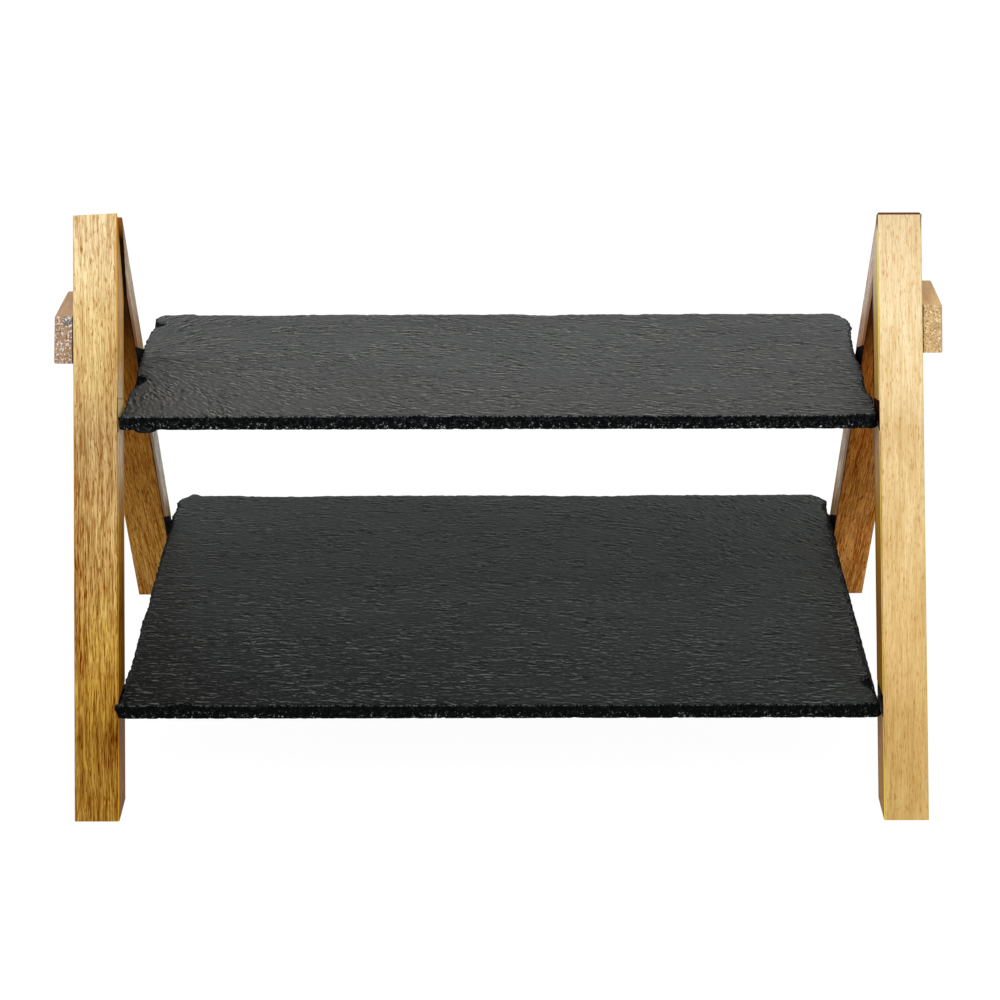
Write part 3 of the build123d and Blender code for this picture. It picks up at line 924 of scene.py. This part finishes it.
# %% Pushing a grid in along its borders
def pushed_in(x, y, slate, rim, face=0.0):
    """Moves one point of the grid inwards.

    rim is 1 for the ragged outline and 0 for the underside. face is 1 for the split face, whose border
    lies inside the outline by the width of the broken shoulder.
    """
    low, high = slate["box"]
    seed = slate["seed"] if rim else slate["seed"] + 20
    bulk = 0.4 + 0.6 * rim
    places = {"left": y, "right": y, "front": x, "rear": x}
    depths = {}
    for order, (edge, amount) in enumerate([("left", 1.0), ("right", 1.0), ("front", 0.6), ("rear", 1.2)]):
        where = places[edge]
        depth = chipping(where, seed + order, amount * bulk)
        depth += rim * (slate["inset"][edge] + hand_bite(where, slate["bites"][edge]))
        shoulder = slate["shoulder"][edge]
        depth += face * (shoulder + shoulder * chipping(where, seed + order + 40) / millimetre * 0.5)
        depths[edge] = depth
    for edge in ("left", "right"):
        depths[edge] += (1 - rim) * slate["spare"][edge]
    leg_face = foot_y + (high.z if rim else low.z) * slope
    if y < leg_face - 0.3 * millimetre and not face:
        depths["left"] = 0.3 * slate["lip"]
    gaps = {"left": x - low.x, "right": high.x - x, "front": y - low.y, "rear": high.y - y}
    push = {}
    for edge, gap in gaps.items():
        fade = max(0.0, 1 - gap / border_reach)
        push[edge] = depths[edge] * fade * fade
    new_x = x + push["left"] - push["right"]
    new_y = y + push["front"] - push["rear"]
    for corner, clip in slate["clips"].items():
        ahead, aside = corner.split("_")
        reach = 1.6 * clip
        spare = reach - gaps[ahead] - gaps[aside]
        if spare > 0:
            shift = clip * spare / reach / 2
            new_x += shift if aside == "left" else -shift
            new_y += shift if ahead == "front" else -shift
    return new_x, new_y


# %% The relief of a split face
def split_relief(x, y, seed):
    """Height of the split face above its mean level, in metres: long low waves with small steps."""
    wave = noise.noise(Vector((x * 16, y * 38, seed)))
    flake = noise.noise(Vector((x * 55, y * 170, seed + 4)))
    ledge = noise.noise(Vector((x * 28, y * 90, seed + 9)))
    step = 1.0 if ledge > 0.25 else max(0.0, ledge * 4)
    return millimetre * (0.10 * wave + 0.07 * flake + 0.08 * step)


# %% Building a slate: its two faces
worn_reach = 0.0025       # how far in from the border the split face is worn down


def spot(slate, column, row):
    """Where a point of the grid lies before it is pushed in."""
    low, high = slate["box"]
    across, deep = slate["cells"]
    return low.x + (high.x - low.x) * column / across, low.y + (high.y - low.y) * row / deep


def border(across, deep):
    """The points of the grid round its rim, in order."""
    rim = [(column, 0) for column in range(across)]
    rim += [(across, row) for row in range(deep)]
    rim += [(column, deep) for column in range(across, 0, -1)]
    return rim + [(0, row) for row in range(deep, 0, -1)]


def split_face(slate, points, faces):
    """The upper face: a fine grid with the relief of split stone, worn down beside its border."""
    low, high = slate["box"]
    across, deep = slate["cells"]
    top = {}
    for row in range(deep + 1):
        for column in range(across + 1):
            x, y = spot(slate, column, row)
            gap = min(x - low.x, high.x - x, y - low.y, high.y - y)
            wear_and_sheen = max(0.0, 1 - gap / worn_reach)
            drop = 0.00015 * wear_and_sheen * wear_and_sheen + 0.0001
            top[column, row] = len(points)
            height = high.z - drop + split_relief(x, y, slate["seed"])
            points.append((*pushed_in(x, y, slate, 1.0, 1.0), height))
    for row in range(deep):
        for column in range(across):
            faces.append((top[column, row], top[column + 1, row],
                          top[column + 1, row + 1], top[column, row + 1]))
    return top


def underside(slate, rim, points, faces):
    """The lower face: a grid twice as coarse, with a chipped rim that keeps every point."""
    low = slate["box"][0]
    across, deep = slate["cells"]
    rim = set(rim)
    under = {}
    for row in range(deep + 1):
        for column in range(across + 1):
            on_rim = (column, row) in rim
            if on_rim or (column % 2 == 0 and row % 2 == 0):
                x, y = spot(slate, column, row)
                chip = noise.noise(Vector((x * 420, y * 420, slate["seed"]))) if on_rim else 0
                under[column, row] = len(points)
                points.append((*pushed_in(x, y, slate, 0.0), low.z + 0.7 * millimetre * max(0.0, chip)))
    for row in range(0, deep, 2):
        for column in range(0, across, 2):
            ring = [(column, row), (column, row + 1), (column, row + 2), (column + 1, row + 2),
                    (column + 2, row + 2), (column + 2, row + 1), (column + 2, row), (column + 1, row)]
            faces.append(tuple(under[key] for key in ring if key in under))
    return under


# %% Building a slate: its broken wall
brow_share = 0.09         # how far down the wall the outline stands furthest out
ring_shares = (0.05, 0.09, 0.20, 0.36, 0.54, 0.76)


def wall_point(slate, share, upper, brow, lower, outwards, at_left):
    """One rough point of the wall, between the upper rim, the brow and the lower rim."""
    if share < brow_share:
        base = upper.lerp(brow, share / brow_share)
    else:
        base = brow.lerp(lower, (share - brow_share) / (1 - brow_share))
    base.z = upper.z + (lower.z - upper.z) * share
    ledge = noise.cell(Vector((base.x * 260, base.y * 260, base.z * 700 + slate["seed"])))
    crumb = noise.noise(Vector((base.x * 520, base.y * 520, base.z * 900)))
    rough = 0.32 * (ledge - 0.6) + 0.38 * crumb - 0.1
    base += outwards * millimetre * rough * min(1.0, 4 * share)
    leg_front = foot_y + base.z * slope
    if at_left and base.y < leg_front - 0.3 * millimetre:
        base.x += slate["lip"] * sin(pi * share)
    base.z += 0.00025 * noise.noise(Vector((base.x * 700, base.y * 700, share * 7)))
    return tuple(base)


def wall(slate, rim, top, under, points, faces):
    """A stack of rings from the upper rim to the lower one, and the faces between them."""
    rings = [[top[key] for key in rim]]
    brows = [Vector((*pushed_in(*spot(slate, *key), slate, 1.0), 0)) for key in rim]
    for share in ring_shares:
        ring = []
        for count, key in enumerate(rim):
            before = Vector(points[under[rim[count - 1]]])
            after = Vector(points[under[rim[(count + 1) % len(rim)]]])
            outwards = (after - before).cross(Vector((0, 0, 1))).normalized()
            upper = Vector(points[top[key]])
            lower = Vector(points[under[key]])
            ring.append(len(points))
            points.append(wall_point(slate, share, upper, brows[count], lower, outwards, key[0] == 0))
        rings.append(ring)
    rings.append([under[key] for key in rim])
    for above, below in zip(rings, rings[1:]):
        for count in range(len(rim)):
            after = (count + 1) % len(rim)
            faces.append((above[count], below[count], below[after], above[after]))


# %% The two pieces
def slate_piece(tier):
    """One slate as a closed mesh: split face, ragged wall and underside."""
    slate = slates[tier]
    slate["box"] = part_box(slate["node"])
    points = []
    faces = []
    rim = border(*slate["cells"])
    top = split_face(slate, points, faces)
    under = underside(slate, rim, points, faces)
    flat = len(faces)
    wall(slate, rim, top, under, points, faces)
    broken = len(faces) - flat
    mesh = bpy.data.meshes.new(f"{tier}_slate_riven")
    mesh.from_pydata(points, [], faces)
    mesh.polygons.foreach_set("use_smooth", [True] * flat + [False] * broken)
    mesh.materials.append(slate["finish"])
    mesh.materials.append(slate["edge"])
    mesh.polygons.foreach_set("material_index", [0] * flat + [1] * broken)
    mesh.validate()
    piece = bpy.data.objects.new(f"{tier}_slate_riven", mesh)
    in_scene.link(piece)
    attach(piece, slate["body"])
    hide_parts(slate["node"])
    print(tier, "slate:", len(points), "points,", len(faces), "faces")


slate_piece("upper")
slate_piece("lower")

# %% [markdown]
# ## Small parts
#
# The screws are plated steel, brushed by the driver. The dowels are turned beech and hidden in
# the mitres. The pads are black rubber with a faint bloom, as on any board that must not scratch
# what it lies on.


# %% Screws, dowels and pads
def plain_finish(name, base, wear_and_sheen, grain_scale, roughness, metallic=0.0):
    """A finish with a mild cloudiness in its colour, roughness and surface."""
    material, tree, shader = new_material(name)
    at = object_place(tree)
    patches = cloud(tree, scaled(tree, at, grain_scale, grain_scale, grain_scale), 3.0, 0.6)
    put(shader, "Base Color", blended(tree, patches, colour(*base), colour(*wear_and_sheen)))
    put(shader, "Roughness", maths(tree, "MULTIPLY_ADD", patches, 0.2, roughness))
    shader.inputs["Metallic"].default_value = metallic
    bump = add(tree, "ShaderNodeBump", {"Height": patches, "Distance": 0.00006, "Strength": 0.5})
    put(shader, "Normal", bump.outputs[0])
    return material


steel = plain_finish("screw_steel", (150, 148, 142), (196, 194, 188), 900, 0.28, 1.0)
beech = plain_finish("dowel_beech", (206, 170, 122), (184, 144, 96), 700, 0.55)
rubber = plain_finish("pad_rubber", (5, 5, 5), (14, 14, 14), 500, 0.75)
for node, part in frame["nodes"].items():
    if node.endswith("_screws"):
        part.material_slots[0].material = steel
    elif node.endswith("_dowels"):
        part.material_slots[0].material = beech
    elif node.endswith("_pad"):
        part.material_slots[0].material = rubber
print("finished the small parts")
